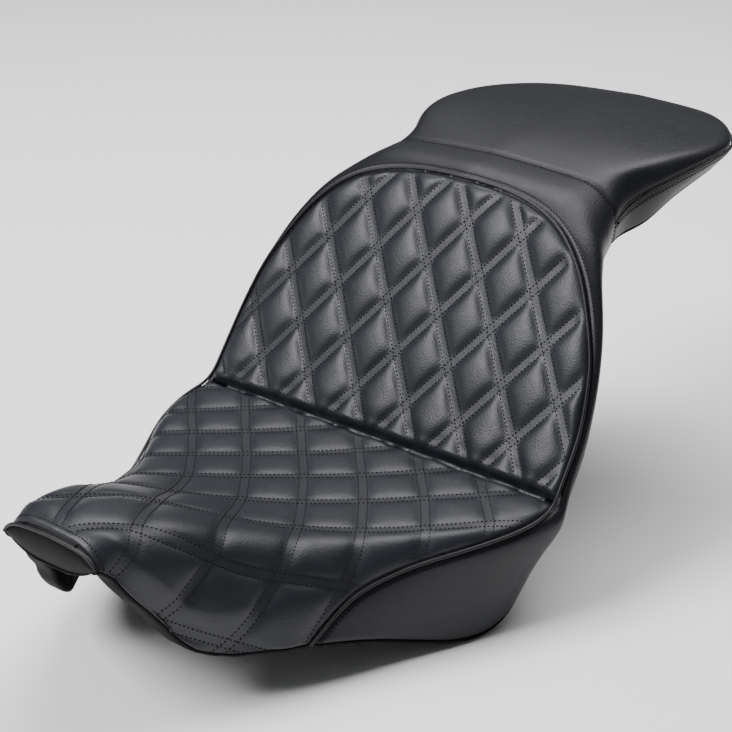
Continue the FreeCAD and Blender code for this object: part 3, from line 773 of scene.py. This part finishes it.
rider = panel_object("rider_pad", [RIDER], QUILTED)
back = panel_object("backrest_pad", [BACK], QUILTED)
band = panel_object("shoulder_cover", [BAND], SMOOTH)
pillion = panel_object("pillion_pad", [PILLION], SMOOTH)
boxing = panel_object("pillion_side", [BOXING], SMOOTH)
# the nose face carries the painted-shade vinyl
nose = panel_object("nose_face", [NOSE], NOSE_SHADE_VINYL, 0.0004)

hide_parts("rider_panel", "rider_quilt_foam", "rider_foam")
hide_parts("backrest_panel", "backrest_quilt_foam", "backrest_foam")
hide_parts("shoulder_band")
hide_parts("pillion_panel", "pillion_foam")
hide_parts("pillion_boxing")
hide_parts("nose_gusset")
for pad, slot, fill in ((rider, "quilted_vinyl", 0.8), (back, "quilted_vinyl", 0.85),
                        (band, "cover_vinyl", 0.9), (pillion, "cover_vinyl", 0.9),
                        (boxing, "cover_vinyl", 0.9), (nose, "cover_vinyl", 0.9)):
    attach(pad, "root")


# ---- the hem, turned under the edge of the pan ------------------------------------------------

HEM_PROFILE = ((0.0, 0.0), (0.0002, -0.0008), (0.0009, -0.0016), (0.0024, -0.0020),
               (0.0060, -0.0021), (0.0110, -0.0021), (0.0155, -0.0020), (0.0178, -0.0014),
               (0.0186, 0.0), (0.0188, 0.0030), (0.0187, 0.0080), (0.0186, 0.0130))
CHIN_PROFILE = ((0, 0), (0.0006, -0.0009), (0.0030, -0.0012), (0.0080, -0.0006),
                (0.0140, 0.0008), (0.0200, 0.0030))
CLOSED_FROM = 0.330         # behind this the hem closes right across the seat
HEM_THICK = 0.0009


def hem_strip(name, side):
    """The turned edge of one side, closed across the seat at the tail."""
    edge = SKIN[FIRST_ROW:LAST_ROW + 1, -1 if side > 0 else 0]
    verts, faces = [], []
    count = len(HEM_PROFILE)
    for x, y, z in edge:
        room = abs(x) - 0.002
        closing = y > CLOSED_FROM
        for inward, rise in HEM_PROFILE:
            move = inward / HEM_PROFILE[-1][0] * room if closing else min(inward, room)
            lift = min(rise, 0.0) if closing else rise
            verts.append((x - side * move, y, z + lift))
    for r in range(len(edge) - 1):
        for k in range(count - 1):
            a = r * count + k
            quad = (a, a + 1, a + count + 1, a + count)
            faces.append(quad if side < 0 else quad[::-1])
    # the hem strip carries the painted-shade vinyl
    made = mesh_object(name, verts, faces, HEM_SHADE_VINYL)
    thicken(made, HEM_THICK)
    return made


def chin_strip():
    """The lower edge of the nose, turned back under the pan's front."""
    edge = SKIN[0]
    verts = [(x * 0.93, y + inward, z + rise)
             for inward, rise in CHIN_PROFILE for x, y, z in edge]
    count = len(edge)
    faces = [(r * count + c, r * count + c + 1, (r + 1) * count + c + 1, (r + 1) * count + c)
             for r in range(len(CHIN_PROFILE) - 1) for c in range(count - 1)]
    # the chin strip carries the painted-shade vinyl
    made = mesh_object("turned_chin", verts, faces, HEM_SHADE_VINYL)
    thicken(made, HEM_THICK)
    return made


hems = [hem_strip("turned_hem_left", 1), hem_strip("turned_hem_right", -1), chin_strip()]
for hem in hems:
    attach(hem, "root")
    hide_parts("cover_hem")


# ---- welts and thread -------------------------------------------------------------------------

main_welt = tube("main_welt", SEAM_MAIN, 0.0013, WELT, 0.0002)
boxing_welt = tube("boxing_welt", SEAM_BOXING, 0.0012, WELT, 0.0002)
nose_piping = tube("nose_piping", SEAM_NOSE, 0.0014, WELT, 0.0005)
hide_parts("side_welt_left", "side_welt_right")
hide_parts("pillion_welt")
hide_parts("nose_welt")
for welt in (main_welt, boxing_welt, nose_piping):
    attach(welt, "root")

clear_back = (PANEL == BACK) & (FAR_MAIN > 0.004) & (FAR_FOLD > 0.005)
clear_rider = (PANEL == RIDER) & (FAR_MAIN > 0.004) & (FAR_FOLD > 0.006)
clear_rider &= FAR_NOSE > 0.006
thread = [
    stitches("backrest_quilting", quilt_lines(BACK_LINES, BACK_SLOPES, clear_back)),
    stitches("rider_quilting", quilt_lines(RIDER_LINES, RIDER_SLOPES, clear_rider)),
    stitches("main_topstitch", seam_lines(FAR_MAIN, ALONG_MAIN, 0.0055, PANEL == BAND)),
    stitches("boxing_topstitch", seam_lines(FAR_BOXING, ALONG_BOXING, 0.0050, PANEL == BOXING)),
    stitches("band_topstitch", seam_lines(FAR_BAND, ALONG_BAND, 0.0045, PANEL == BAND)),
    stitches("nose_topstitch", seam_lines(FAR_NOSE, ALONG_NOSE, 0.0060, PANEL == RIDER)),
]
for rows in thread:
    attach(rows, "root")


# ---- finishes of the hard parts ---------------------------------------------------------------

FINISHES = {"base_pan": PLASTIC, "front_tongue": BLACK_STEEL, "cover_staples": STEEL,
            "bumper_screws": STEEL, "tongue_rivets": STEEL, "rear_tab": STEEL,
            "tab_rivets": STEEL}
for name, node in nodes.items():
    finish = RUBBER if "bumper_" in name and name != "bumper_screws" else FINISHES.get(name)
    if finish:
        for place in range(len(node.material_slots)):
            node.material_slots[place].material = finish
        if not node.material_slots:
            node.data.materials.append(finish)


# ---- floor, light and camera ------------------------------------------------------------------

FLOOR_Z = -0.0012           # the hem in this script reaches 0.9 mm below the CAD's lowest point
CAMERA_PLACE = (0.9093, -1.1124, 0.7429)
CAMERA_TURN, CAMERA_RISE = math.radians(40.3), math.radians(22.9)
FOCAL_LENGTH, SENSOR_WIDTH = 98.36, 36.0


def floor():
    mesh = bpy.data.meshes.new("floor")
    size = 6.0
    mesh.from_pydata([(-size, -size, 0), (size, -size, 0), (size, size, 0), (-size, size, 0)],
                     [], [(0, 1, 2, 3)])
    made = bpy.data.objects.new("floor", mesh)
    bpy.context.scene.collection.objects.link(made)
    finish, _, _ = material("floor_paint", (0.95, 0.95, 0.95), 0.9)
    mesh.materials.append(finish)
    made.location.z = FLOOR_Z


def area_light(name, place, target, size, power):
    light = bpy.data.lights.new(name, "AREA")
    light.shape = "RECTANGLE"
    light.size, light.size_y = size
    light.energy = power
    made = bpy.data.objects.new(name, light)
    bpy.context.scene.collection.objects.link(made)
    made.location = place
    way = Vector(target) - Vector(place)
    made.rotation_euler = way.to_track_quat("-Z", "Y").to_euler()


def camera():
    level = math.cos(CAMERA_RISE)
    right = Vector((math.cos(CAMERA_TURN), math.sin(CAMERA_TURN), 0))
    back_way = Vector((math.sin(CAMERA_TURN) * level, -math.cos(CAMERA_TURN) * level,
                       math.sin(CAMERA_RISE)))
    up = back_way.cross(right)
    lens = bpy.data.cameras.new("camera")
    lens.lens = FOCAL_LENGTH
    lens.sensor_width = SENSOR_WIDTH
    lens.clip_start, lens.clip_end = 0.05, 50.0
    made = bpy.data.objects.new("camera", lens)
    bpy.context.scene.collection.objects.link(made)
    pose = Matrix((right, up, back_way)).transposed().to_4x4()
    pose.translation = Vector(CAMERA_PLACE)
    made.matrix_world = pose
    bpy.context.scene.camera = made


floor()
area_light("key", (-1.0, -1.9, 2.3), (0, 0, 0.15), (1.6, 1.2), 128.0)
area_light("top", (-0.3, 0.9, 2.4), (0, 0.05, 0.1), (2.4, 1.8), 92.0)
world = bpy.data.worlds.new("studio")
world.use_nodes = True
world.node_tree.nodes["Background"].inputs["Color"].default_value = (0.95, 0.97, 1.0, 1)
world.node_tree.nodes["Background"].inputs["Strength"].default_value = 0.13
bpy.context.scene.world = world
camera()

bpy.context.view_layer.update()
